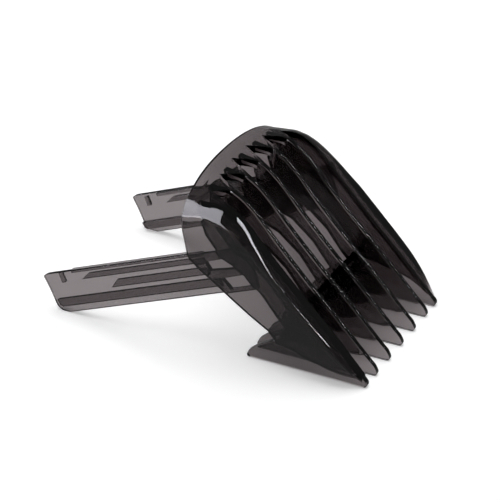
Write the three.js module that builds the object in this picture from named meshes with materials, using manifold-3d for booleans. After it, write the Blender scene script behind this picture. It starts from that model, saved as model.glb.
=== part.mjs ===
// Slide-on guide comb for a hair clipper: seven teeth under a domed crown, two side cheeks, and two
// long arms that slide along the clipper body. Millimetres, +Z up, the comb standing on its feet.
// The outlines are drawn from the tooth tips (y = 0) back to the free ends of the arms, and the
// finished group is then centred on its own footprint.
import * as THREE from "three";
import { mergeVertices } from "three/addons/utils/BufferGeometryUtils.js";
import Module from "manifold-3d";

const wasm = await Module();
wasm.setup();

// ---- driving dimensions ----------------------------------------------------------------------
const overallLength = 94.6; // tooth tips to the free ends of the arms
const headHalfWidth = 27; // outer faces of the cheeks
const tipHalfWidth = 22.8; // the same faces where they close on the outer tooth tips
const wall = 1.5; // moulding thickness of crown, cheeks and arms
const gap = 0.3; // clearance between neighbouring nodes
const toothPitch = 8.1; // between the five middle teeth
const toothThickness = 1.5;
const outerToothX = 22.3; // middle plane of the two outer teeth
const middleTeeth = 5;
const crownTop = 46.3; // highest point of the dome
const springing = 38; // height where the dome meets the cheeks
const rimY = 53; // rear rim of the crown on the centre plane
const rimBow = 1.7; // how much further forward the rim lies at the cheeks
const fingerY = 40.6; // front ends of the crown's fingers
const notchDepthY = 47.6; // closed ends of the slots between the middle teeth
const outerNotchY = 45.8; // closed ends of the two outermost slots
const archOrder = 2.6; // squareness of the dome across the comb
const archPower = 0.556;
const shoulderShare = 0.45; // how far the cap's inner edge climbs from the cheek towards the ridge
const convergeY = 11; // cheeks close in towards the tips in front of this
const taper = headHalfWidth - tipHalfWidth;
const armOuterX = headHalfWidth - wall - gap;
const armThickness = 1.4;
const armPitch = THREE.MathUtils.degToRad(22); // fall of the arms towards their free ends
const armHeight = 11.9;
const armRun = 62; // length of the lower edge of an arm
const armHeelY = 89.9; // where the arm's lower edge would meet the square end, and its height
const armHeelZ = -1.25;
const ribStart = 11.5; // where the upper rib, the lower rib and the top lip begin
const lowRibStart = 20;
const lipStart = 8.5;
const ribEnd = 42; // where rails and ribs end, behind the cheek's rear edge
const railReach = 1.2; // how far the guide rail stands proud of the inner face
const ribReach = 1.1;
const lipReach = 0.9;

// ---- drawing helpers -------------------------------------------------------------------------
const vec = ([a, b]) => new THREE.Vector2(a, b);

/** Points along a smooth curve through the given [y, z] knots. */
function smooth(knots, divisions) {
  return new THREE.SplineCurve(knots.map(vec)).getPoints(divisions).map((p) => [p.x, p.y]);
}

/** The same run of points, moved sideways by a distance: positive is to the right of travel. */
function offset(points, distance) {
  return points.map(([y, z], i) => {
    const before = points[Math.max(i - 1, 0)];
    const after = points[Math.min(i + 1, points.length - 1)];
    const along = new THREE.Vector2(after[0] - before[0], after[1] - before[1]).normalize();
    return [y + along.y * distance, z - along.x * distance];
  });
}

/** A plate: a side-view outline in (y, z), extruded across the comb from x = from to x = to. */
function plate(outline, from, to, { holes = [], steps = 1 } = {}) {
  const run = outline.map(vec);
  const shape = new THREE.Shape(THREE.ShapeUtils.isClockWise(run) ? run.reverse() : run);
  shape.holes = holes.map((hole) => new THREE.Path(hole.map(vec)));
  const solid = new THREE.ExtrudeGeometry(shape, { depth: to - from, steps, bevelEnabled: false });
  const across = new THREE.Vector3(1, 0, 0);
  const axes = [new THREE.Vector3(0, 1, 0), new THREE.Vector3(0, 0, 1), across];
  return solid.applyMatrix4(new THREE.Matrix4().makeBasis(...axes)).translate(from, 0, 0);
}

/** A prism standing along Z over a plan outline in (x, y). */
function column(outline, from, to) {
  const shape = new THREE.Shape(outline.map(vec));
  const solid = new THREE.ExtrudeGeometry(shape, { depth: to - from, bevelEnabled: false });
  return solid.translate(0, 0, from);
}

/** Moves every vertex by a rule that takes and returns [x, y, z]. */
function reshape(geometry, rule) {
  const place = geometry.getAttribute("position");
  for (let i = 0; i < place.count; i += 1) {
    place.setXYZ(i, ...rule([place.getX(i), place.getY(i), place.getZ(i)]));
  }
  return geometry;
}

/** A closed geometry as a solid that can be joined and cut. */
function toSolid(geometry) {
  const bare = geometry.clone();
  bare.deleteAttribute("normal");
  bare.deleteAttribute("uv");
  const merged = mergeVertices(bare, 1e-4);
  return new wasm.Manifold(
    new wasm.Mesh({
      numProp: 3,
      vertProperties: new Float32Array(merged.getAttribute("position").array),
      triVerts: new Uint32Array(merged.index.array),
    }),
  );
}

/** A solid back as a geometry with shaded faces. */
function toGeometry(solid) {
  const mesh = solid.getMesh();
  const geometry = new THREE.BufferGeometry();
  geometry.setAttribute("position", new THREE.BufferAttribute(mesh.vertProperties, mesh.numProp));
  geometry.setIndex(new THREE.BufferAttribute(mesh.triVerts, 1));
  const faceted = geometry.toNonIndexed();
  faceted.computeVertexNormals();
  return faceted;
}

/** A block between two corners, used to keep one region of a solid. */
function block(low, high) {
  const size = high.map((value, axis) => value - low[axis]);
  const centre = high.map((value, axis) => (value + low[axis]) / 2);
  return toSolid(new THREE.BoxGeometry(...size).translate(...centre));
}

// ---- shared curves ---------------------------------------------------------------------------
// Ridge of the teeth in side view, from the crown down to the tip: level over the crown, then one
// nearly straight fall to a small round nose.
const ridge = smooth(
  [[46, 46.1], [42.4, 45.2], [39, 43.2], [34.9, 39.4], [29, 32.6], [20, 23], [10, 12.8], [0.6, 2.6]],
  30,
);

// Ridge of the cheeks: it leaves the dome lower down, because the shoulders fall away there.
const cheekRidge = smooth(
  [[44, 39.6], [40.6, 38.9], [36, 36.6], [31.6, 33.4], [25.5, 28.4], [19.4, 22.2], [10, 12.5], [0.6, 2.3]],
  26,
);

/** Height on a run of points at a given y. */
function heightAt(points, y) {
  const i = points.findIndex((point) => point[0] <= y);
  const [y1, z1] = points[Math.max(i, 1)];
  const [y0, z0] = points[Math.max(i, 1) - 1];
  return z0 + ((z1 - z0) * (y - y0)) / (y1 - y0);
}

/** Ridge of the cap where it meets the outer tooth: it rounds up from the cheek's ridge. */
const capInner = cheekRidge.map(([y, z]) => {
  const lift = Math.max(heightAt(ridge, Math.min(y, ridge[0][0])) - z, 0);
  return [y, z + shoulderShare * lift];
});

/** Distance of the cheek's outer face from the centre plane: full width, then closing on the tip. */
function outerX(y) {
  const forward = Math.min(y / convergeY, 1);
  return tipHalfWidth + taper * (1 - (1 - forward) ** 2);
}

// ---- crown and shoulders ---------------------------------------------------------------------
/** One line of the dome in front view, for a given half width and top height. */
function archLine(halfWidth, top) {
  return Array.from({ length: 37 }, (_, i) => {
    const u = -Math.cos((Math.PI * i) / 36);
    return [u * halfWidth, springing + (top - springing) * (1 - Math.abs(u) ** archOrder) ** archPower];
  });
}

/** The whole dome: an arch band swept forward from the rim and bent down along the ridge. */
function dome() {
  const outer = archLine(headHalfWidth, crownTop);
  const inner = archLine(headHalfWidth - wall, crownTop - wall).reverse();
  const shape = new THREE.Shape([...outer, ...inner].map(vec).reverse());
  const sweep = rimY - fingerY;
  const solid = new THREE.ExtrudeGeometry(shape, { depth: sweep, steps: 8, bevelEnabled: false });
  solid.rotateX(Math.PI / 2).translate(0, rimY, 0);
  return toSolid(
    reshape(solid, ([x, y, z]) => {
      const share = (y - fingerY) / sweep;
      const fall = y < ridge[0][0] ? ridge[0][1] - heightAt(ridge, y) : 0;
      return [x, y - rimBow * share * (x / headHalfWidth) ** 2, z - fall];
    }),
  );
}

/** A cutter for one slot end: a pointed arch in plan, as wide as the gap between two teeth. */
function slotEnd(centre, halfGap, apexY) {
  const open = fingerY - 1;
  const wide = apexY - 6.2;
  return toSolid(
    column(
      [
        [centre - halfGap, open],
        [centre + halfGap, open],
        [centre + halfGap, wide],
        [centre, apexY],
        [centre - halfGap, wide],
      ],
      springing - 6,
      crownTop + 4,
    ),
  );
}

const middleHalfGap = (toothPitch - toothThickness) / 2;
const lastMiddleX = ((middleTeeth - 1) / 2) * toothPitch;
const outerSlotX = (lastMiddleX + outerToothX) / 2;
const outerHalfGap = (outerToothX - lastMiddleX - toothThickness) / 2;
let slottedDome = dome();
for (let i = 0; i < middleTeeth - 1; i += 1) {
  const centre = (i + 0.5) * toothPitch - lastMiddleX;
  slottedDome = slottedDome.subtract(slotEnd(centre, middleHalfGap, notchDepthY));
}
for (const side of [-1, 1]) {
  slottedDome = slottedDome.subtract(slotEnd(side * outerSlotX, outerHalfGap, outerNotchY));
}
const crownHalf = outerSlotX + 1;
const crownSolid = slottedDome.intersect(block([-crownHalf, 0, 0], [crownHalf, 60, 60]));
const shoulderSolid = slottedDome.intersect(block([-40, 0, 0], [-crownHalf - gap, 60, 60]));

// ---- cheeks ----------------------------------------------------------------------------------
/** The cheek's rear and lower edges in side view, from the dome round to the tooth tip. */
const cheekTail = [
  [51.2, springing - gap],
  [51.1, 35.6],
  [50.4, 32.4],
  [49.4, 28],
  [45.6, 24.7],
  [34.6, 17],
  [26.2, 11.6],
  [24.4, 9],
  [16, 6.6],
  [4, 3.4],
];
const capDepth = wall;
const underCap = offset(cheekRidge, -(capDepth + gap)).filter(([y]) => y > 4 && y < fingerY - gap);

/** The side wall: its outline cut into bands along y, each one sheared to follow outerX. */
function cheek() {
  const bent = fingerY - gap;
  const top = [48, 45, 42.5, fingerY].map((y) => {
    const fall = y < ridge[0][0] ? ridge[0][1] - heightAt(ridge, y) : 0;
    return [y, springing - gap - fall];
  });
  const front = [...top, [bent, heightAt(cheekRidge, bent) - 2 * gap], ...underCap];
  const full = [...front, ...cheekTail.slice().reverse()];
  const bands = [0, 1.8, 3.6, 5.4, 7.2, 9, convergeY, 60];
  let solid;
  for (let i = 0; i + 1 < bands.length; i += 1) {
    const [near, far] = [bands[i], bands[i + 1]];
    const straight = toSolid(plate(full, 0, wall)).intersect(block([-1, near, -1], [3, far, 60]));
    const lean = i + 2 < bands.length ? (outerX(far) - outerX(near)) / (far - near) : 0;
    const shear = new THREE.Matrix4().makeShear(0, 0, -lean, 0, 0, 0);
    const slice = toGeometry(straight).translate(0, -near, 0).applyMatrix4(shear);
    const placed = toSolid(slice.translate(-outerX(near), near, 0));
    solid = solid ? solid.add(placed) : placed;
  }
  return toGeometry(solid);
}

/**
 * The cap along the cheek's ridge: it bridges from the cheek to the outer tooth beside it, and
 * rounds up from the cheek's ridge to the teeth's where the shoulder begins.
 */
function ridgeCap() {
  const upper = cheekRidge.filter(([y]) => y > 3 && y < fingerY - gap);
  const lower = offset(cheekRidge, -capDepth).filter(([y]) => y > 3.4 && y < fingerY - gap);
  const strip = plate([...upper, ...lower.reverse()], 0, 1, { steps: 6 });
  const innerX = outerToothX + toothThickness / 2 + gap;
  return reshape(strip, ([t, y, z]) => {
    const lift = heightAt(capInner, y) - heightAt(cheekRidge, y);
    const x = -outerX(y) + t * (outerX(y) - innerX);
    return [x, y, z + lift * (1 - (1 - t) ** 2)];
  });
}

// ---- teeth -----------------------------------------------------------------------------------
const heel = [[34.4, 0.6], [34, 1.9], [31, 4.4], [27.4, 6.8], [25, 8.2]];
const nose = [[0.2, 1.5], [0, 0.9], [0.3, 0.3], [1.1, 0]];

// The edge round the space that the clipper's blade takes, from its front corner up to the crown.
const bladeSpace = [[23.3, 12.6], [25.3, 14.6], [29.9, 19.6], [41, 30]];

/** Height of the clearance under the crown, at a distance from the centre plane. */
function underCrown(x, y) {
  const across = 1 - (Math.abs(x) / (headHalfWidth - wall)) ** archOrder;
  const fall = y < ridge[0][0] ? ridge[0][1] - heightAt(ridge, y) : 0;
  return springing + (crownTop - wall - springing) * across ** archPower - fall - 2 * gap;
}

/** A middle tooth: a plate from its ridge back to the blade space, carried on under the crown. */
function middleTooth(x) {
  const top = ridge.filter(([y]) => y < fingerY - gap);
  const under = [46.4, 44.5, 42.5, fingerY - gap].map((y) => [y, underCrown(x, y)]);
  const outline = [...under, ...top, ...nose, [33.9, 0], ...heel, ...bladeSpace, [46.4, 36.4]];
  return plate(outline, x - toothThickness / 2, x + toothThickness / 2);
}

/** An outer tooth: its ridge lies under the cap's inner edge. */
function outerTooth() {
  const top = capInner.filter(([y]) => y < fingerY - gap);
  const outline = [...top, ...nose, [33.9, 0], ...heel, ...bladeSpace];
  return plate(outline, -outerToothX - toothThickness / 2, -outerToothX + toothThickness / 2);
}

/** A web: the short wall between two teeth, under the edge of the clipper's blade. */
function web(from, to) {
  return plate([[20.7, 14], [22.9, 13.7], [24.5, 7.4], [22.6, 6.9]], from + gap, to - gap);
}

// ---- arms ------------------------------------------------------------------------------------
// Arm outlines are drawn level, from the free end at u = 0 towards the root, and then pitched.
const rise = new THREE.Matrix4().makeRotationX(-armPitch);

/** A prism on an arm: an outline in (u, v), u along the arm from its free end, v across it. */
function armPiece(outline, from, to, holes = []) {
  const flip = (run) => run.map(([u, v]) => [-u, v]);
  const solid = plate(flip(outline), from, to, { holes: holes.map(flip) });
  return solid.applyMatrix4(rise).translate(0, armHeelY, armHeelZ);
}

const rectangle = (u0, u1, v0, v1) => [[u0, v0], [u1, v0], [u1, v1], [u0, v1]];
const innerFace = -armOuterX + armThickness;
const windows = [rectangle(52.4, 59, 7, 8.9), rectangle(56, 61, 1.4, 3.9)];

/** The plate of an arm, its free end square with a blunted heel and a chamfered top corner. */
function armPlate() {
  const end = [[-0.39, 11.58], [0, 7.5], [0.2, 2.6], [0.6, 1.7], [1.4, 0.85], [3.4, 0]];
  const root = [[armRun, 0], [armRun + 1, armHeight]];
  return armPiece([...end, ...root, [1.8, armHeight]], -armOuterX, innerFace, windows);
}

/** A raised strip on the inner face of an arm. */
function strip(outline, reach) {
  const from = innerFace + gap / 2;
  return armPiece(outline, from, from + reach);
}

const guideRail = [[0.6, 2.2], [1.4, 1.6], [ribEnd, 1.6], [ribEnd, 3.9], [0.4, 3.9]];
const topLip = rectangle(lipStart, ribEnd, armHeight - 0.9, armHeight);
const upperRib = rectangle(ribStart, ribEnd, 8.8, 10.2);
const lowerRib = rectangle(lowRibStart, ribEnd, 5.3, 7.3);
const detent = rectangle(4.2, 5.4, 8.6, 11.4);

// ---- assembly --------------------------------------------------------------------------------
const finish = (colour) => new THREE.MeshStandardMaterial({ color: colour, roughness: 0.12, metalness: 0 });
const comb = new THREE.Group();
comb.position.y = -overallLength / 2;

function add(name, geometry, colour = 0x3a3638) {
  const mesh = new THREE.Mesh(geometry, finish(colour));
  mesh.name = name;
  comb.add(mesh);
  return mesh;
}

/** Adds a piece drawn on the -X side and its mirror image on the +X side. */
function addPair(name, geometry, colour) {
  add(`${name}_left`, geometry, colour);
  add(`${name}_right`, geometry, colour).scale.x = -1;
}

add("crown", toGeometry(crownSolid), 0x8a8082);
addPair("shoulder", toGeometry(shoulderSolid), 0x5a5456);
addPair("cheek", cheek(), 0x4a4648);
addPair("ridge_cap", ridgeCap(), 0x2a2829);
addPair("outer_tooth", outerTooth(), 0x3a3638);
for (let i = 0; i < middleTeeth; i += 1) {
  add(`tooth_${i + 1}`, middleTooth(i * toothPitch - lastMiddleX), 0x3a3638);
}
for (let i = 0; i + 1 < middleTeeth; i += 1) {
  const from = i * toothPitch - lastMiddleX + toothThickness / 2;
  add(`web_${i + 1}`, web(from, from + toothPitch - toothThickness), 0x2a2829);
}
addPair("outer_web", web(-outerToothX + toothThickness / 2, -lastMiddleX - toothThickness / 2), 0x2a2829);
addPair("arm", armPlate(), 0x6a6466);
addPair("guide_rail", strip(guideRail, railReach), 0x4a4648);
addPair("arm_lip", strip(topLip, lipReach), 0x4a4648);
addPair("upper_rib", strip(upperRib, ribReach), 0x4a4648);
addPair("lower_rib", strip(lowerRib, ribReach), 0x4a4648);
addPair("detent", strip(detent, lipReach), 0x4a4648);

export default comb;
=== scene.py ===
"""Looks of a slide-on guide comb for a hair clipper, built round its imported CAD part.

The comb is one clear smoked moulding. Its head (crown, shoulders, cheeks, caps, teeth and webs) is
joined into one closed solid, because light passes through it and a seam between two closed solids
would show. The two arms that slide along the clipper's body are pieces of their own.

Shapes are worked out in millimetres with y = 0 at the tooth tips, and placed in the part's frame at
the end. X is across the comb, y runs back along the arms, z is up.
"""

import logging
import math
from dataclasses import dataclass, field
from enum import Enum

import bpy
import numpy as np
from mathutils import Matrix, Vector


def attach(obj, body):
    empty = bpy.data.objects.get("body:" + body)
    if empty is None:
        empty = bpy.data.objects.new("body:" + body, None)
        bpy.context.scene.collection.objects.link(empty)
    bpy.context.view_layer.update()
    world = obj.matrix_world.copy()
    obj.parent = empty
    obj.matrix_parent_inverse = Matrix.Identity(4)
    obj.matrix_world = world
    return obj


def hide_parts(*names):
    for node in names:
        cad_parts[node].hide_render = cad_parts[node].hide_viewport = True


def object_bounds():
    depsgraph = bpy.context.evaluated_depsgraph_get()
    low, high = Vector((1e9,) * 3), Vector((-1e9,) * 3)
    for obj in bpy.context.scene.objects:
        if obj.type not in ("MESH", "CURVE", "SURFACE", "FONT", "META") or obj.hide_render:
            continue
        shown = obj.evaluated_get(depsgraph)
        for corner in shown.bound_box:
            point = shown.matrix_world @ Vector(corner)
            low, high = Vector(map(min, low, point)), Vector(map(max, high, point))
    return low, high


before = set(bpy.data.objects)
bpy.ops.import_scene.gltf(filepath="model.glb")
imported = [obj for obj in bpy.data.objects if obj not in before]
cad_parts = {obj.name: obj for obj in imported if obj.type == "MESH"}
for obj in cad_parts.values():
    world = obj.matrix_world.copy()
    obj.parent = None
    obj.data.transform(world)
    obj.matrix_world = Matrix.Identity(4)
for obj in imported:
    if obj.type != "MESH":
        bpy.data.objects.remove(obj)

LOG = logging.getLogger("guide_comb")
CAD_BOX = [list(map(float, corner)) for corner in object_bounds()]
MM = 0.001
ORIGIN_FROM_TIPS = 47.3  # how far behind the tooth tips the part's origin lies, in millimetres
Grid = np.ndarray


class Side(Enum):
    """The two mirrored sides of the comb, with the sign of their x."""

    LEFT = -1
    RIGHT = 1


# ---- curves and surfaces -------------------------------------------------------------------------
def smooth_run(knots: list[tuple[float, float]], count: int) -> Grid:
    """A smooth curve through knots.

    Between two knots the point is the Catmull-Rom cubic of the four nearest knots, and the ends are
    continued in a straight line.

    Args:
        knots: points that the curve passes through, in order.
        count: how many points to return, spread evenly from knot to knot.

    Returns:
        An array of count points.
    """
    known = np.asarray(knots, float)
    padded = np.vstack([2 * known[0] - known[1], known, 2 * known[-1] - known[-2]])
    travel = np.linspace(0, len(known) - 1, count)
    start = np.minimum(travel.astype(int), len(known) - 2)
    share = (travel - start)[:, None]
    a, b, c, d = (padded[start + i] for i in range(4))
    cubic = 3 * b - a - 3 * c + d
    return 0.5 * (2 * b + (c - a) * share + (2 * a - 5 * b + 4 * c - d) * share**2 + cubic * share**3)


def moved_aside(run: Grid, distance: float | Grid, closed: bool = False) -> Grid:
    """A run of (y, z) points moved along its own normals.

    Each point goes to the right of travel by distance, with the direction of travel taken from the
    point before to the point after.

    Args:
        run: the points.
        distance: how far, in millimetres, one value or one for each point.
        closed: whether the last point joins the first.

    Returns:
        The moved points.
    """
    if closed:
        along = np.roll(run, -1, axis=0) - np.roll(run, 1, axis=0)
    else:
        along = np.gradient(run, axis=0)
    along = along / np.maximum(np.linalg.norm(along, axis=1, keepdims=True), 1e-9)
    right = np.stack([along[:, 1], -along[:, 0]], axis=1)
    return run + right * np.reshape(distance, (-1, 1))


def even_run(outline: Grid, spacing: float) -> Grid:
    """A closed outline with extra points on its straight stretches, each side divided evenly.

    Args:
        outline: the corners.
        spacing: the longest step between neighbouring points, in millimetres.

    Returns:
        The corners with the extra points between them.
    """
    ahead = np.roll(outline, -1, axis=0)
    counts = np.maximum(np.ceil(np.linalg.norm(ahead - outline, axis=1) / spacing), 1).astype(int)
    first = np.repeat(outline, counts, axis=0)
    last = np.repeat(ahead, counts, axis=0)
    step = np.concatenate([np.arange(n) / n for n in counts])[:, None]
    return first + (last - first) * step


def loop_faces(rings: int, around: int) -> Grid:
    """Quads between neighbouring closed rings of points.

    Args:
        rings: how many rings.
        around: points on each ring.

    Returns:
        Rows of four point numbers.
    """
    ring, at = np.meshgrid(np.arange(rings - 1), np.arange(around), indexing="ij")
    after = (at + 1) % around
    low, high = ring * around, (ring + 1) * around
    return np.stack([low + at, low + after, high + after, high + at], axis=-1).reshape(-1, 4)


def solid_from_rings(name: str, rings: Grid) -> bpy.types.Object:
    """A closed solid from a stack of rings.

    The rings are joined by quads, and the first and last are closed by one flat face each.

    Args:
        name: name of the object.
        rings: points in drawing millimetres, of shape (rings, points, 3).

    Returns:
        The object, with faces that point outwards.
    """
    count, around, _ = rings.shape
    quads = loop_faces(count, around)
    ends = [list(range(around))[::-1], list(range((count - 1) * around, count * around))]
    mesh = bpy.data.meshes.new(name)
    mesh.from_pydata(rings.reshape(-1, 3).tolist(), [], quads.tolist() + ends)
    mesh.validate()
    solid = bpy.data.objects.new(name, mesh)
    bpy.context.scene.collection.objects.link(solid)
    if signed_volume(solid) < 0:
        mesh.flip_normals()
    return solid


def signed_volume(solid: bpy.types.Object) -> float:
    """Volume of a closed mesh, the sum of the tetrahedra from the origin to its triangles.

    Args:
        solid: the object.

    Returns:
        The volume, negative if the faces point inwards.
    """
    mesh = solid.data
    mesh.calc_loop_triangles()
    places = np.empty(len(mesh.vertices) * 3)
    mesh.vertices.foreach_get("co", places)
    corners = np.empty(len(mesh.loop_triangles) * 3, dtype=np.int64)
    mesh.loop_triangles.foreach_get("vertices", corners)
    a, b, c = np.moveaxis(places.reshape(-1, 3)[corners.reshape(-1, 3)], 1, 0)
    return float(np.einsum("ij,ij->i", a, np.cross(b, c)).sum() / 6)


class Edge(Enum):
    """How a plate's section closes on its outline.

    Each row pairs a share of the half thickness, counted from the middle plane, with the share of the
    draw-in that the outline has there.
    """

    ROUND = ((1.0, 1.0), (0.97, 0.62), (0.92, 0.3), (0.86, 0.08), (0.8, 0.0))
    RIDGE = ((1.0, 1.0), (0.93, 0.14), (0.8, 0.07), (0.64, 0.032), (0.45, 0.01), (0.25, 0.0))


def plate(
    name: str, outline: Grid, low: float, high: float, draw: float | Grid = 0.2, edge: Edge = Edge.ROUND
) -> bpy.types.Object:
    """A flat plate across x whose outline is drawn in towards both faces.

    Its outline in (y, z) is stacked from x = low to x = high, each layer moved inwards by its share
    of draw.

    Args:
        name: name of the object.
        outline: closed outline, any direction.
        low: x of one face.
        high: x of the other face.
        draw: how far each point is drawn in at the faces, one value or one for each point.
        edge: the section of the edge.

    Returns:
        The plate.
    """
    run = np.asarray(outline, float)
    ahead = np.roll(run, -1, axis=0)
    area = np.sum(run[:, 0] * ahead[:, 1] - ahead[:, 0] * run[:, 1]) / 2
    inward = -np.asarray(draw) if area > 0 else np.asarray(draw)
    out, shrink = np.array(edge.value).T
    shrinks = np.concatenate([shrink, shrink[::-1]])
    places = (low + high) / 2 + (high - low) / 2 * np.concatenate([-out, out[::-1]])
    rings = [
        np.column_stack([np.full(len(run), x), moved_aside(run, inward * s, closed=True)])
        for x, s in zip(places, shrinks)
    ]
    return solid_from_rings(name, np.array(rings))


def thin_towards_tip(tooth: bpy.types.Object, middle: float, share: float, length: float) -> None:
    """Scales a tooth about its middle plane, from share at y = 0 in a straight line to 1 at length.

    Args:
        tooth: the tooth, changed in place.
        middle: x of its middle plane.
        share: what remains of its thickness at the tip.
        length: y from which it has its full thickness.
    """
    mesh = tooth.data
    places = np.empty(len(mesh.vertices) * 3)
    mesh.vertices.foreach_get("co", places)
    x, y, _ = places.reshape(-1, 3).T
    x[:] = middle + (x - middle) * np.interp(y, [0, length], [share, 1])
    mesh.vertices.foreach_set("co", places)


def prism(name: str, outline: Grid, low: float, high: float) -> bpy.types.Object:
    """A sharp-edged prism along z, used as a cutter.

    Args:
        name: name of the object.
        outline: closed outline in (x, y).
        low: z of its lower face.
        high: z of its upper face.

    Returns:
        The prism.
    """
    run = np.asarray(outline, float)
    rings = [np.column_stack([run, np.full(len(run), z)]) for z in (low, high)]
    return solid_from_rings(name, np.array(rings))


# ---- joining ---------------------------------------------------------------------------------------
class Joint(Enum):
    """How one solid meets another."""

    ADD = "UNION"
    CUT = "DIFFERENCE"


def combine(base: bpy.types.Object, tools: list[bpy.types.Object], how: Joint) -> None:
    """Adds solids to another, or cuts them out of it, and removes them.

    Args:
        base: the solid that is changed.
        tools: the solids that are used up.
        how: whether they are added or cut.
    """
    for tool in tools:
        change = base.modifiers.new(tool.name, "BOOLEAN")
        change.operation = how.value
        change.solver = "MANIFOLD"
        change.object = tool
        graph = bpy.context.evaluated_depsgraph_get()
        made = bpy.data.meshes.new_from_object(base.evaluated_get(graph))
        base.modifiers.remove(change)
        old, base.data = base.data, made
        bpy.data.meshes.remove(old)
        bpy.data.objects.remove(tool)


def place_in_frame(piece: bpy.types.Object) -> None:
    """Turns drawing millimetres into the part's metres, and keeps every point inside its box.

    Args:
        piece: the piece, changed in place.
    """
    low, high = np.array(CAD_BOX)
    mesh = piece.data
    places = np.empty(len(mesh.vertices) * 3)
    mesh.vertices.foreach_get("co", places)
    places = places.reshape(-1, 3)
    places[:, 1] -= ORIGIN_FROM_TIPS
    places = np.clip(places * MM, low, high)
    mesh.vertices.foreach_set("co", places.ravel())
    mesh.update()


def shade_piece(piece: bpy.types.Object, sharp_degrees: float = 32.0, flat_lead: int = 60) -> None:
    """Smooth shading with sharp creases, large flat faces keeping their own normals.

    Args:
        piece: the piece.
        sharp_degrees: edges that turn by more than this stay sharp.
        flat_lead: how strongly large faces lead the normals, with 50 for not at all.
    """
    mesh = piece.data
    mesh.shade_smooth()
    mesh.set_sharp_from_angle(angle=math.radians(sharp_degrees))
    weighted = piece.modifiers.new("flat faces lead", "WEIGHTED_NORMAL")
    weighted.keep_sharp = True
    weighted.weight = flat_lead


# ---- finishes ----------------------------------------------------------------------------------------
def linear(code: str) -> tuple[float, float, float, float]:
    """The linear colour of an sRGB hex code.

    Args:
        code: a hash sign and six hex digits.

    Returns:
        Red, green, blue and an alpha of 1.
    """
    parts = [int(code[i : i + 2], 16) / 255 for i in (1, 3, 5)]
    channels = [c / 12.92 if c <= 0.04045 else ((c + 0.055) / 1.055) ** 2.4 for c in parts]
    return (*channels, 1.0)


def add_node(tree: bpy.types.NodeTree, kind: str, settings: dict, links: dict) -> bpy.types.Node:
    """Adds a node, sets it and links it.

    Args:
        tree: the node tree.
        kind: the node's type name.
        settings: attribute or input name to value; inputs are tried first.
        links: input name or number to the output socket that feeds it.

    Returns:
        The new node.
    """
    node = tree.nodes.new(kind)
    for name, value in settings.items():
        if name in node.inputs:
            node.inputs[name].default_value = value
        else:
            setattr(node, name, value)
    for name, source in links.items():
        tree.links.new(source, node.inputs[name])
    return node


@dataclass(frozen=True)
class SmokedPolycarbonate:
    """Clear polycarbonate, tinted through and moulded in a polished steel tool.

    It looks almost black where several walls lie behind one another and like grey glass where there
    is only one. The surface is mirror-smooth, with the faint long ripple of melt flow and a little
    handling wear in its gloss.
    """

    name: str = "smoked_polycarbonate_polished_moulding"
    ior: float = 1.585
    roughness: float = 0.02
    wear_roughness: float = 0.05
    ripple_mm: float = 7.0
    ripple_strength: float = 0.05
    ripple_depth: float = 0.0004
    wear_mm: float = 3.0
    wear_between: tuple[float, float] = (0.45, 0.8)
    depth_per_metre: float = 1060.0
    passes: tuple[float, float, float] = (0.113, 0.047, 0.061)

    def build(self) -> bpy.types.Material:
        """Makes the material: glassy surface, absorbing inside.

        Returns:
            The material.
        """
        material = bpy.data.materials.new(self.name)
        material.use_nodes = True
        tree = material.node_tree
        tree.nodes.clear()
        place = add_node(tree, "ShaderNodeTexCoord", {}, {}).outputs["Object"]
        flow = add_node(
            tree,
            "ShaderNodeTexNoise",
            {"Scale": 1 / (self.ripple_mm * MM), "Detail": 1.0},
            {"Vector": place},
        )
        ripple = add_node(
            tree,
            "ShaderNodeBump",
            {"Strength": self.ripple_strength, "Distance": self.ripple_depth},
            {"Height": flow.outputs["Fac"]},
        )
        rubbed = add_node(
            tree,
            "ShaderNodeTexNoise",
            {"Scale": 1 / (self.wear_mm * MM), "Detail": 3.0},
            {"Vector": place},
        )
        least, most = self.wear_between
        gloss = add_node(
            tree,
            "ShaderNodeMapRange",
            {"From Min": least, "From Max": most, "To Min": self.roughness, "To Max": self.wear_roughness},
            {"Value": rubbed.outputs["Fac"]},
        )
        surface = add_node(
            tree,
            "ShaderNodeBsdfPrincipled",
            {"Base Color": linear("#FFFFFF"), "IOR": self.ior, "Transmission Weight": 1.0},
            {"Roughness": gloss.outputs["Result"], "Normal": ripple.outputs["Normal"]},
        )
        smoke = add_node(
            tree,
            "ShaderNodeVolumeAbsorption",
            {"Color": (*self.passes, 1.0), "Density": self.depth_per_metre},
            {},
        )
        add_node(
            tree,
            "ShaderNodeOutputMaterial",
            {},
            {"Surface": surface.outputs["BSDF"], "Volume": smoke.outputs["Volume"]},
        )
        return material


@dataclass(frozen=True)
class PaleTable:
    """Matt white laminate table top, which the comb stands on."""

    name: str = "white_matt_table"
    colour: str = "#F4F4F5"
    roughness: float = 0.9
    glow: float = 0.4

    def build(self) -> bpy.types.Material:
        """Makes the material: matt white with a lift that keeps it evenly pale.

        Returns:
            The material.
        """
        material = bpy.data.materials.new(self.name)
        material.use_nodes = True
        tree = material.node_tree
        tree.nodes.clear()
        surface = add_node(
            tree,
            "ShaderNodeBsdfPrincipled",
            {
                "Base Color": linear(self.colour),
                "Roughness": self.roughness,
                "Specular IOR Level": 0.0,
                "Emission Color": (1.0, 1.0, 1.0, 1.0),
                "Emission Strength": self.glow,
            },
            {},
        )
        add_node(tree, "ShaderNodeOutputMaterial", {}, {"Surface": surface.outputs["BSDF"]})
        return material


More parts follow.
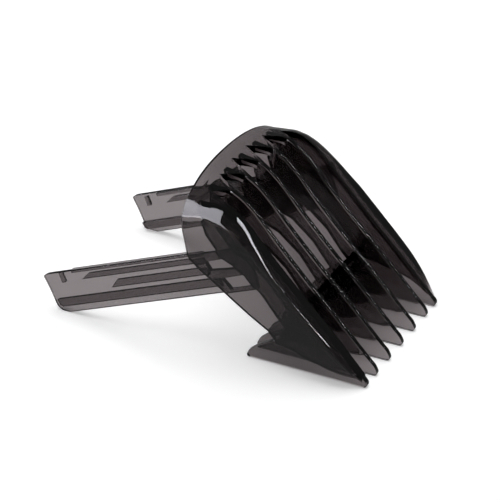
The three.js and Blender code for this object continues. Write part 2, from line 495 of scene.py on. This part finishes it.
# ---- the head of the comb ----------------------------------------------------------------------------
@dataclass
class CombHead:
    """Crown, shoulders, cheeks and caps as one wall, with seven teeth and the webs between them.

    Attributes:
        half_width: outer face of the cheeks.
        tip_half_width: the same at the tooth tips.
        converge: y in front of which the cheeks close in towards the tips.
        wall: thickness of the cheeks.
        edge_radius: rounding of the lower edge.
        least_wall: the side wall is at least this high.
        rim: y of the crown's back rim at its ends.
        rim_bow: how much further back the rim goes on the centre plane.
        bow_from: y from which the wall bows back.
        crown_from: y from which the top has the crown's thickness.
        crown_wall: (y, thickness) of the crown.
        pitch: from one middle tooth to the next.
        tooth: thickness of a middle tooth.
        ridge_width: width of a tooth between two slots.
        ridge_depth: how deep under the skin the rounded ridge of a tooth begins.
        ridge_draw: (y, how far the ridge is drawn in at the faces).
        tip_share: what remains of a middle tooth's thickness at its tip.
        tip_taper: y from which it has its full thickness.
        outer_tooth: x of the two faces of an outermost tooth.
        clear_half: x inside which the side wall never reaches.
        finger: y in front of which the teeth stand free.
        slot_ends: the |x| of a slot to the y of its end.
        slot_power: how bluntly a slot closes.
        ridge_knots: (y, z) of the top on the centre plane.
        shoulder_line: (y, z) where the cheek turns into the arch.
        cheek_edge: (y, z) of the cheek's lower edge.
        squareness: (y, power n) of the arch.
        nose, foot, blade_space: (y, z) of a tooth's outline, from the tip along the table and up.
        web_outline: (y, z) of a web.
    """

    half_width: float = 27.0
    tip_half_width: float = 22.8
    converge: float = 11.0
    wall: float = 1.7
    edge_radius: float = 0.3
    least_wall: float = 0.5
    rim: float = 51.3
    rim_bow: float = 1.7
    bow_from: float = 44.0
    crown_from: float = 38.5
    crown_wall: list[tuple[float, float]] = field(
        default_factory=lambda: [(38.5, 1.7), (40.6, 2.4), (44, 2.2), (48, 1.9), (52, 1.7)]
    )
    pitch: float = 8.1
    tooth: float = 1.95
    ridge_width: float = 0.7
    ridge_depth: float = 1.2
    ridge_draw: list[tuple[float, float]] = field(
        default_factory=lambda: [
            (1, 0.5), (3, 1.4), (10, 5), (40, 5), (44, 2.4), (47.5, 0.6), (48.6, 0.2),
        ]
    )
    tip_share: float = 0.76
    tip_taper: float = 15.0
    outer_tooth: tuple[float, float] = (21.4, 23.3)
    clear_half: float = 21.9
    finger: float = 40.6
    slot_ends: dict[float, float] = field(
        default_factory=lambda: {4.05: 48.6, 12.15: 47.8, 19.25: 46.0}
    )
    slot_power: float = 1.5
    ridge_knots: list[tuple[float, float]] = field(
        default_factory=lambda: [
            (53.2, 46.3), (50, 46.3), (48, 46.2), (46, 45.9), (42.4, 45.2), (39, 43.2), (34.9, 39.4),
            (29, 32.6), (20, 23), (10, 12.8), (0.6, 2.6),
        ]
    )
    shoulder_line: list[tuple[float, float]] = field(
        default_factory=lambda: [
            (0, 1.0), (1.7, 2.7), (5, 6.6), (10, 12.2), (13.3, 15.9), (19.4, 22.3), (25.5, 28.6),
            (28.6, 31.2), (31.6, 33.7), (34.6, 35.8), (37.6, 37.8), (40.6, 39.1), (43.7, 39.8), (46, 39.6),
            (49, 38.6), (54, 38.2),
        ]
    )
    cheek_edge: list[tuple[float, float]] = field(
        default_factory=lambda: [
            (0, 1.0), (1.7, 2.6), (4, 3.4), (11.9, 5.8), (15.3, 6.3), (19.6, 8.1), (24, 8.8),
            (25, 10.2), (26.4, 11.9), (31.6, 15), (37.3, 18.8), (43.1, 22.9), (46, 24.8), (49, 27.2),
            (49.7, 28.6), (50.5, 32.6), (51.1, 35.7), (51.3, 38.0),
        ]
    )
    squareness: list[tuple[float, float]] = field(
        default_factory=lambda: [(0, 14), (30, 14), (34, 8), (38, 5), (42, 3.2), (46, 2.4), (54, 2.4)]
    )
    nose: list[tuple[float, float]] = field(
        default_factory=lambda: [(0.25, 1.75), (0.05, 1.2), (0.06, 0.7), (0.3, 0.25), (0.9, 0.0)]
    )
    foot: list[tuple[float, float]] = field(
        default_factory=lambda: [
            (33.7, 0.0), (34.3, 0.35), (34.4, 0.9), (33.8, 2.2), (30.9, 4.6), (27.4, 6.6), (25, 7.6),
        ]
    )
    blade_space: list[tuple[float, float]] = field(
        default_factory=lambda: [
            (23.3, 12.6), (25.3, 14.6), (29.9, 20.4), (36, 25.8), (41.4, 28.2), (46, 34.0), (47.2, 37.6),
        ]
    )
    web_outline: list[tuple[float, float]] = field(
        default_factory=lambda: [(20.7, 14.0), (22.9, 13.7), (24.5, 7.4), (22.6, 6.9)]
    )

    def ridge(self) -> Grid:
        """The ridge line of the teeth on the centre plane, from the rim down to the tip."""
        return smooth_run(self.ridge_knots, 121)

    def height(self, table: Grid | list, y: Grid) -> Grid:
        """Value of a (y, value) table at y."""
        rows = np.asarray(table, float)
        rows = rows[np.argsort(rows[:, 0])]
        return np.interp(y, rows[:, 0], rows[:, 1])

    def reach(self, y: Grid) -> Grid:
        """Outer face of the cheek: full width, closing in a parabola in front of the converge line."""
        forward = np.clip(y / self.converge, 0, 1)
        return self.tip_half_width + (self.half_width - self.tip_half_width) * (1 - (1 - forward) ** 2)

    def skin_height(self, x: float, y: Grid) -> Grid:
        """Height of the outer skin: edge + (top - edge) * (1 - |x / reach|^n)^m.

        Args:
            x: distance from the centre plane.
            y: stations.

        Returns:
            The height at each station.
        """
        top, edge = self.height(self.ridge(), y), self.height(self.shoulder_line, y)
        square = self.height(self.squareness, y)
        share = np.clip(np.abs(x) / self.reach(y), 0, 1)
        return edge + (top - edge) * (1 - share**square) ** self.flatness(y)

    def flatness(self, y: Grid) -> Grid:
        """The power m of the arch: 0.5 over the teeth, a little more over the crown."""
        return np.interp(y, [30, 46], [0.5, 0.556])

    def arch(self, y: Grid, reach: Grid, top: Grid, edge: Grid, count: int) -> tuple[Grid, Grid]:
        """Points of an arch section from its foot to its crown, at every station.

        With a from 90 degrees to 0, x = reach * sin(a)^(2/n) and
        z = edge + (top - edge) * cos(a)^(2m).

        Args:
            y: stations.
            reach: half width at each station.
            top: height on the centre plane.
            edge: height at the foot of the arch.
            count: points on the arch.

        Returns:
            x and z, each of shape (stations, count).
        """
        turn = np.linspace(math.pi / 2, 0, count)[None, :]
        square = self.height(self.squareness, y)[:, None]
        across = reach[:, None] * np.sin(turn) ** (2 / square)
        rise = np.cos(turn) ** (2 * self.flatness(y)[:, None])
        return across, edge[:, None] + (top - edge)[:, None] * rise

    def section_line(self, y: Grid, reach: Grid, top: Grid, edge: Grid, foot: Grid) -> tuple[Grid, Grid]:
        """Half a section line at every station: up the wall from foot, then over the arch.

        Args:
            y: stations.
            reach: half width at each station.
            top: height on the centre plane.
            edge: height at the foot of the arch.
            foot: height at the foot of the wall.

        Returns:
            x and z, each of shape (stations, points).
        """
        arch_x, arch_z = self.arch(y, reach, top, edge, 44)
        climb = np.linspace(0, 1, 24)[None, :-1]
        wall_z = foot[:, None] + (edge - foot)[:, None] * climb
        wall_x = np.broadcast_to(reach[:, None], wall_z.shape)
        return np.hstack([wall_x, arch_x]), np.hstack([wall_z, arch_z])

    def skin(self) -> bpy.types.Object:
        """The whole outer wall as one closed shell, before the slots are cut.

        Each station is a ring: along the outer section line from the left foot over the crown to the
        right foot, round the lower edge, and back along the inner line. The inner top lies under the
        outer one by the thickness times the root of 1 + slope^2, because the wall is measured square
        to its own slope. The last stations draw the ring in, which rounds the rim.

        Returns:
            The shell.
        """
        radius = self.edge_radius
        stations = np.concatenate(
            [
                np.linspace(1.2, 40, 64),
                np.linspace(40.5, 48.6, 22),
                np.linspace(48.9, 51.0, 16),
                [51.06, 51.12, 51.18, 51.24, self.rim],
            ]
        )
        drawn_in = np.concatenate([np.zeros(len(stations) - 3), [0.04, 0.12, 0.28]])
        bow = np.clip((stations - self.bow_from) / (self.rim - self.bow_from), 0, 1) ** 2 * self.rim_bow
        top = self.height(self.ridge(), stations + bow)
        slope = np.gradient(top, stations)
        edge = self.height(self.shoulder_line, stations)
        foot = np.minimum(self.height(self.cheek_edge, stations), edge - self.least_wall)
        reach = self.reach(stations)
        thick = np.minimum(self.wall, reach - self.clear_half)
        deep = self.height(self.crown_wall, stations)
        fall = np.where(stations < self.crown_from, thick, deep) * np.sqrt(1 + slope**2)
        rounding = foot + radius
        inner_top = top - fall + drawn_in
        # Small steps keep the inner line in order where the section is low: foot, edge, top.
        inner_edge = np.minimum(edge - 0.25, inner_top - 0.4) + drawn_in / 2
        inner_edge = np.maximum(inner_edge, rounding + 0.05)
        outer_reach, inner_reach = reach - drawn_in, reach - thick + drawn_in
        outer = self.section_line(stations, outer_reach, top - drawn_in, edge - drawn_in / 2, rounding)
        inner = self.section_line(stations, inner_reach, inner_top, inner_edge, rounding)
        turn = np.linspace(0, math.pi / 2, 5)[None, 1:]
        back = turn[:, ::-1]
        round_x = np.hstack(
            [
                outer_reach[:, None] - radius * (1 - np.cos(turn)),
                inner_reach[:, None] + radius * (1 - np.cos(back)),
            ]
        )
        round_z = np.hstack([rounding[:, None] - radius * np.sin(way) for way in (turn, back)])
        half_x = np.hstack([outer[0][:, ::-1], round_x, inner[0]])
        half_z = np.hstack([outer[1][:, ::-1], round_z, inner[1]])
        ring_x = np.hstack([half_x, -half_x[:, -2:0:-1]])
        ring_z = np.hstack([half_z, half_z[:, -2:0:-1]])
        ring_y = stations[:, None] + bow[:, None] * (1 - (ring_x / self.half_width) ** 2)
        return solid_from_rings("comb_head", np.stack([ring_x, ring_y, ring_z], axis=-1))

    def slot_cutter(self, centre: float, half_gap: float, end: float) -> bpy.types.Object:
        """A cutter for a slot: its half width is half_gap * (1 - (1 - share)^p), from the end forwards.

        Args:
            centre: x of the slot's middle.
            half_gap: half its full width.
            end: y of its closed end.

        Returns:
            The cutter.
        """
        full_width = self.finger - 0.4
        share = np.linspace(0, 1, 14)
        y = end + (full_width - end) * share
        half = half_gap * (1 - (1 - share) ** self.slot_power)
        front = self.finger - 3.0
        left = np.column_stack([centre - half, y])
        right = np.column_stack([centre + half, y])[::-1]
        outline = np.vstack(
            [left, [[centre - half_gap, front]], [[centre + half_gap, front]], right[:-1]]
        )
        return prism(f"slot_cutter_{centre:.0f}", outline, 30, 50)

    def is_outer(self, x: float) -> bool:
        """Whether a tooth at x is one of the outermost pair."""
        return abs(x) > 2 * self.pitch + 1

    def tooth_plate(self, x: float) -> bpy.types.Object:
        """One tooth: the outermost are plain plates, the others have a rounded ridge and a thin tip.

        Args:
            x: middle plane of the tooth.

        Returns:
            The tooth.
        """
        outline = even_run(self.tooth_outline(x), 1.5)
        name = f"tooth_plate_{x:.0f}"
        if self.is_outer(x):
            near, far = sorted(math.copysign(face, x) for face in self.outer_tooth)
            return plate(name, outline, near, far, 0.25)
        y, z = outline.T
        on_ridge = (z > self.skin_height(x, y) - self.ridge_depth) & (y > 1.0)
        draw = np.where(on_ridge, self.height(self.ridge_draw, y), 0.2)
        tooth = plate(name, outline, x - self.tooth / 2, x + self.tooth / 2, draw, Edge.RIDGE)
        thin_towards_tip(tooth, x, self.tip_share, self.tip_taper)
        return tooth

    def tooth_outline(self, x: float) -> Grid:
        """Side outline of a tooth: ridge, nose, underside, foot, and the edge round the blade space.

        The ridge follows the skin. Under the crown it sinks into the wall, and a middle tooth stands
        a hair proud where the slots begin, so that no face of it lies in the skin. The root ends
        below the skin by fixed steps.

        Args:
            x: middle plane of the tooth.

        Returns:
            A closed outline in (y, z).
        """
        y = np.concatenate([np.linspace(48.6, 42.2, 14), np.linspace(41.9, 0.9, 70)])
        outer = self.is_outer(x)
        depths = [0.0, 0.3, 0.5, 0.8, 0.9] if outer else [0.0, 0.0, 0.0, 0.25, 0.9]
        sunk = np.interp(y, [0, 3, 41.9, 43.0, 46.5], depths)
        proud = 0.0 if outer else np.interp(y, [41.0, 41.9, 42.4], [0.0, 0.04, 0.0])
        top = np.column_stack([y, self.skin_height(x, y) - sunk + proud])
        root = [(47.9, top[0, 1] - 2.6), (48.5, top[0, 1] - 0.7)]
        return np.vstack([top, self.nose, self.foot, self.blade_space, root])

    def web(self, low: float, high: float, name: str) -> bpy.types.Object:
        """The short wall between two neighbouring teeth, under the edge of the clipper's blade."""
        outline = even_run(np.array(self.web_outline), 0.8)
        return plate(name, outline, low, high, 0.15)

    def build(self) -> bpy.types.Object:
        """Joins the wall, the teeth and the webs into one closed solid.

        The slots leave a ridge of the wall over each tooth, and every piece laps a little into its
        neighbour, so that they join without a seam.

        Returns:
            The head.
        """
        head = self.skin()
        inside = self.outer_tooth[0] + 0.05
        narrow = self.ridge_width / 2 - 0.03
        front = np.array([(-inside, -2), (inside, -2), (inside, self.finger), (-inside, self.finger)])
        cutters = [prism("front_cutter", front, -2, 60)]
        last_middle = 2 * self.pitch
        for centre, end in self.slot_ends.items():
            low = centre - self.pitch / 2 + narrow if centre < last_middle else last_middle + narrow
            high = centre + self.pitch / 2 - narrow if centre < last_middle else inside
            middle = (high + low) / 2
            cutters += [self.slot_cutter(side.value * middle, (high - low) / 2, end) for side in Side]
        combine(head, cutters, Joint.CUT)
        outer_x = sum(self.outer_tooth) / 2
        lines = [-outer_x, *(i * self.pitch for i in range(-2, 3)), outer_x]
        teeth = [self.tooth_plate(x) for x in lines]
        bite = self.tooth / 2 - 0.3
        webs = [
            self.web(low + bite, high - bite, f"web_slat_{i}")
            for i, (low, high) in enumerate(zip(lines, lines[1:]))
        ]
        combine(head, teeth + webs, Joint.ADD)
        return head

    def dress(self, head: bpy.types.Object, finish: bpy.types.Material) -> None:
        """Gives the head its place, shading, finish, body and the CAD nodes that it stands for.

        Args:
            head: the head.
            finish: its material.
        """
        place_in_frame(head)
        shade_piece(head)
        head.data.materials.clear()
        head.data.materials.append(finish)
        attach(head, "root")
        pairs = ["shoulder", "cheek", "ridge_cap", "outer_tooth", "outer_web"]
        nodes = [f"{name}_{side.name.lower()}" for name in pairs for side in Side]
        nodes += ["crown", *(f"tooth_{i}" for i in range(1, 6)), *(f"web_{i}" for i in range(1, 5))]
        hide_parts(*nodes)


# ---- the arms --------------------------------------------------------------------------------------
def rectangle(u0: float, u1: float, v0: float, v1: float) -> list[tuple[float, float]]:
    """The corners of a rectangle in (u, v)."""
    return [(u0, v0), (u1, v0), (u1, v1), (u0, v1)]


@dataclass
class GuideArm:
    """A long flat arm with its guide rail, lip, ribs and detent on the inner face.

    Attributes:
        side: which of the two arms.
        outer: x of its outer face.
        thickness: of the plain plate.
        pitch_degrees: how steeply it rises towards the head.
        heel: (y, z) of the lower corner of its free end, before the corner is rounded.
        height: across the arm.
        run: length of the plate from the heel into the head.
        rail_reach, rib_reach, lip_reach: how far these stand out of the inner face.
        root_lap: how far a raised strip reaches into the plate.
    """

    side: Side
    outer: float = 25.2
    thickness: float = 1.4
    pitch_degrees: float = 22.0
    heel: tuple[float, float] = (89.9, -1.25)
    height: float = 11.9
    run: float = 65.0
    rail_reach: float = 1.2
    rib_reach: float = 1.1
    lip_reach: float = 0.9
    root_lap: float = 0.4

    def pitched(self, outline: list[tuple[float, float]]) -> Grid:
        """An outline along and across the arm, turned by the pitch about the heel.

        Args:
            outline: points (u, v), u from the heel towards the head and v across.

        Returns:
            The points in (y, z).
        """
        u, v = np.asarray(outline, float).T
        turn = math.radians(self.pitch_degrees)
        y = self.heel[0] - u * math.cos(turn) + v * math.sin(turn)
        z = self.heel[1] + u * math.sin(turn) + v * math.cos(turn)
        return np.column_stack([y, z])

    def strip(
        self, name: str, outline: list[tuple[float, float]], low: float, high: float
    ) -> bpy.types.Object:
        """A rounded plate of the arm between two depths, counted inwards from its outer face."""
        faces = sorted(self.side.value * (self.outer - depth) for depth in (low, high))
        return plate(name, even_run(self.pitched(outline), 1.5), faces[0], faces[1], 0.15)

    def build(self) -> bpy.types.Object:
        """Joins the plate with its raised strips and cuts the two windows at the root.

        Returns:
            The arm.
        """
        label = self.side.name.lower()
        end = [(-0.39, 11.55), (0, 7.5), (0.2, 2.6), (0.6, 1.7), (1.4, 0.85), (3.4, 0.02)]
        root = [(self.run, 0), (self.run + 1, self.height)]
        outline = [*end, *root, (1.8, self.height), (0.6, 11.85)]
        arm = self.strip(f"guide_arm_{label}", outline, 0, self.thickness)
        raised = {
            "rail": ([(0.6, 2.2), (1.4, 1.6), (54, 1.6), (54, 3.9), (0.4, 3.9)], self.rail_reach),
            "lip": (rectangle(8.5, 51.5, 11.0, 11.85), self.lip_reach),
            "upper": ([(11, 8.8), (51.5, 8.8), (51.5, 10.2), (13.6, 10.2)], self.rib_reach),
            "lower": ([(19.4, 5.3), (51.5, 5.3), (51.5, 7.3), (22, 7.3)], self.rib_reach),
            "detent": (rectangle(4.2, 5.4, 8.6, 11.4), self.lip_reach),
        }
        strips = [
            self.strip(f"{name}_{label}", shape, self.thickness - self.root_lap, self.thickness + proud)
            for name, (shape, proud) in raised.items()
        ]
        combine(arm, strips, Joint.ADD)
        openings = [
            [(52.9, 6.9), (60.8, 6.5), (59.4, 9.8), (52.2, 9.6)],
            [(56.9, 0.9), (63.5, 1.0), (62.1, 4.6), (55.3, 4.4)],
        ]
        cutters = [
            self.strip(f"window_{i}_{label}", shape, -1, self.thickness + 1)
            for i, shape in enumerate(openings)
        ]
        combine(arm, cutters, Joint.CUT)
        return arm

    def dress(self, arm: bpy.types.Object, finish: bpy.types.Material) -> None:
        """Gives the arm its place, shading, finish, body and the CAD nodes that it stands for.

        Args:
            arm: the arm.
            finish: its material.
        """
        place_in_frame(arm)
        shade_piece(arm)
        arm.data.materials.clear()
        arm.data.materials.append(finish)
        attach(arm, "root")
        names = ["arm", "guide_rail", "arm_lip", "upper_rib", "lower_rib", "detent"]
        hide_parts(*(f"{name}_{self.side.name.lower()}" for name in names))


# ---- the stage -------------------------------------------------------------------------------------------
@dataclass(frozen=True)
class Softbox:
    """A rectangular area light that faces a point.

    A shiny one is seen in reflections and doesn't light the table. The others do the reverse.
    """

    name: str
    place: tuple[float, float, float]
    aim: tuple[float, float, float]
    size: tuple[float, float]
    power: float
    shiny: bool
    colour: tuple[float, float, float] = (1.0, 1.0, 1.0)

    def build(self) -> None:
        """Makes the light, with its -z axis along the line from place to aim."""
        data = bpy.data.lights.new(self.name, "AREA")
        data.shape = "RECTANGLE"
        data.size, data.size_y = self.size
        data.energy = self.power
        data.color = self.colour
        light = bpy.data.objects.new(self.name, data)
        away = np.asarray(self.place, float) - np.asarray(self.aim, float)
        away /= np.linalg.norm(away)
        straight_down = abs(away[2]) >= 0.99
        side = np.cross((0, 1.0, 0) if straight_down else (0, 0, 1.0), away)
        side /= np.linalg.norm(side)
        matrix = np.eye(4)
        matrix[:3, :3] = np.column_stack([side, np.cross(away, side), away])
        matrix[:3, 3] = self.place
        light.matrix_world = Matrix(matrix.tolist())
        light.visible_glossy = self.shiny
        light.visible_diffuse = not self.shiny
        light.visible_camera = False
        light.visible_transmission = False
        bpy.context.scene.collection.objects.link(light)


COOL_WHITE = (0.93, 0.92, 1.0)
SOFTBOXES = (
    Softbox("overhead_softbox", (0.1, 0.2, 1.2), (0, 0, 0), (1.4, 1.4), 14.5, False),
    Softbox("shoulder_softbox", (-1.25, 0.8, 1.0), (-1.25, 0.8, 0), (2.6, 1.8), 81.0, True, COOL_WHITE),
    Softbox(
        "cheek_softbox", (0.55, -0.72, 0.72), (-0.026, -0.02, 0.03), (0.12, 0.55), 2.1, True, COOL_WHITE
    ),
)


@dataclass
class Studio:
    """White table, pale surroundings, softboxes and the camera.

    Attributes:
        camera_place: the camera, in metres.
        back, right, up: the camera's own axes.
        lens: focal length on a sensor 36 mm wide.
        table_half: half the side of the table top, in metres.
        low_reflection, high_reflection: strength of the surroundings in reflections, below and above
            the horizon.
    """

    camera_place: tuple[float, float, float] = (-0.4994, -0.2541, 0.3422)
    back: tuple[float, float, float] = (-0.7720, -0.3895, 0.5023)
    right: tuple[float, float, float] = (0.4504, -0.8928, 0.0)
    up: tuple[float, float, float] = (0.4485, 0.2262, 0.8647)
    lens: float = 174.3
    table_half: float = 3.0
    low_reflection: float = 0.28
    high_reflection: float = 0.10

    def build_camera(self) -> None:
        """Places the camera and makes it the scene's."""
        data = bpy.data.cameras.new("studio_camera")
        data.lens = self.lens
        data.sensor_width = 36.0
        data.clip_start = 0.01
        data.clip_end = 50.0
        camera = bpy.data.objects.new("studio_camera", data)
        axes = np.column_stack([self.right, self.up, self.back])
        matrix = np.eye(4)
        matrix[:3, :3] = axes
        matrix[:3, 3] = self.camera_place
        camera.matrix_world = Matrix(matrix.tolist())
        bpy.context.scene.collection.objects.link(camera)
        bpy.context.scene.camera = camera

    def build_table(self) -> None:
        """Makes the table top, a square of 6 m at z = 0."""
        half = self.table_half
        mesh = bpy.data.meshes.new("table_top")
        corners = [(-half, -half, 0), (half, -half, 0), (half, half, 0), (-half, half, 0)]
        mesh.from_pydata(corners, [], [(0, 1, 2, 3)])
        table = bpy.data.objects.new("table_top", mesh)
        mesh.materials.append(PaleTable().build())
        bpy.context.scene.collection.objects.link(table)
        table.visible_glossy = False

    def build_world(self) -> None:
        """Surroundings: pale when seen directly or through the plastic, dim in reflections."""
        world = bpy.data.worlds.new("studio_surroundings")
        world.use_nodes = True
        tree = world.node_tree
        tree.nodes.clear()
        path = add_node(tree, "ShaderNodeLightPath", {}, {})
        direct, through = path.outputs["Is Camera Ray"], path.outputs["Is Transmission Ray"]
        seen = add_node(tree, "ShaderNodeMath", {"operation": "MAXIMUM"}, {0: direct, 1: through})
        pale = add_node(tree, "ShaderNodeBackground", {"Color": linear("#FCFCFD"), "Strength": 1.0}, {})
        way = add_node(tree, "ShaderNodeTexCoord", {}, {}).outputs["Generated"]
        rise = add_node(tree, "ShaderNodeSeparateXYZ", {}, {"Vector": way}).outputs["Z"]
        lift = add_node(
            tree,
            "ShaderNodeMapRange",
            {
                "From Min": -0.02,
                "From Max": 0.02,
                "To Min": self.low_reflection,
                "To Max": self.high_reflection,
            },
            {"Value": rise},
        )
        dim = add_node(
            tree, "ShaderNodeBackground", {"Color": linear("#FFFFFF")}, {"Strength": lift.outputs["Result"]}
        )
        shares = {0: seen.outputs[0], 1: dim.outputs[0], 2: pale.outputs[0]}
        mix = add_node(tree, "ShaderNodeMixShader", {}, shares)
        add_node(tree, "ShaderNodeOutputWorld", {}, {"Surface": mix.outputs[0]})
        bpy.context.scene.world = world

    def build(self) -> None:
        """Builds everything round the comb and sets how light is traced."""
        self.build_camera()
        self.build_table()
        self.build_world()
        for softbox in SOFTBOXES:
            softbox.build()
        scene = bpy.context.scene
        scene.view_settings.view_transform = "Standard"
        scene.view_settings.look = "None"
        scene.cycles.max_bounces = 32
        scene.cycles.transmission_bounces = 28
        scene.cycles.glossy_bounces = 12
        scene.cycles.diffuse_bounces = 3
        scene.cycles.transparent_max_bounces = 16
        scene.cycles.use_denoising = True


def main() -> None:
    """Builds the comb and the studio round it."""
    logging.basicConfig(level=logging.INFO, format="%(name)s: %(message)s")
    finish = SmokedPolycarbonate().build()
    head_maker = CombHead()
    head = head_maker.build()
    head_maker.dress(head, finish)
    LOG.info("comb_head: %d faces", len(head.data.polygons))
    for side in Side:
        maker = GuideArm(side)
        arm = maker.build()
        maker.dress(arm, finish)
        LOG.info("%s: %d faces", arm.name, len(arm.data.polygons))
    Studio().build()


if __name__ == "__main__":
    main()
